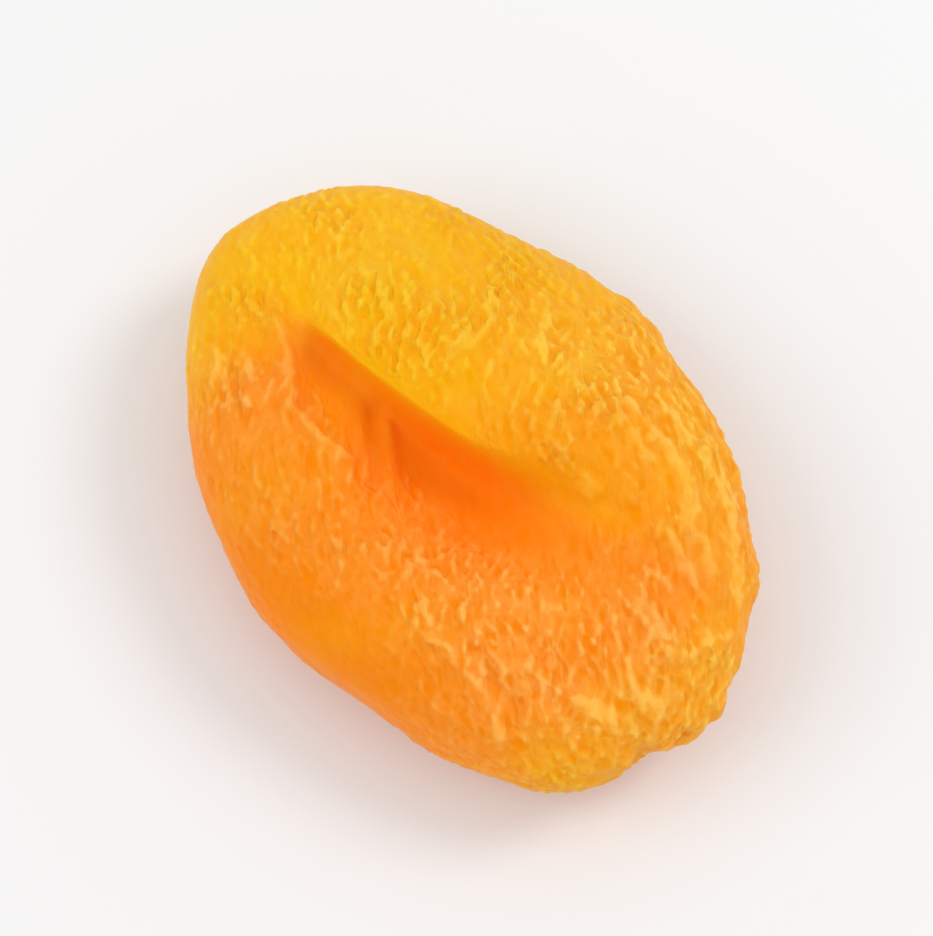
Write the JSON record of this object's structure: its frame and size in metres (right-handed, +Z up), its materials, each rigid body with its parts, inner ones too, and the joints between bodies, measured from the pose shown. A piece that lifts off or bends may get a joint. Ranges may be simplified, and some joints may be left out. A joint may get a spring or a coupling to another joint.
{
  "type": "dried apricot",
  "caption": "Whole pitted dried apricot, a flattened oval with a lipped furrow on its upper face, wrinkled skin and a puckered stem end.",
  "frame": {"origin": "centre of the part's box on the surface it lies on", "axes": "+X to the puckered stem end, +Y to the plump lobe beside the furrow, +Z up out of the face with the furrow"},
  "size_m": [0.042, 0.03, 0.0134],
  "materials": {
    "apricot_skin": "soft semi-gloss"
  },
  "bodies": {
    "root": {"apricot": "apricot_skin"}
  },
  "joints": []
}
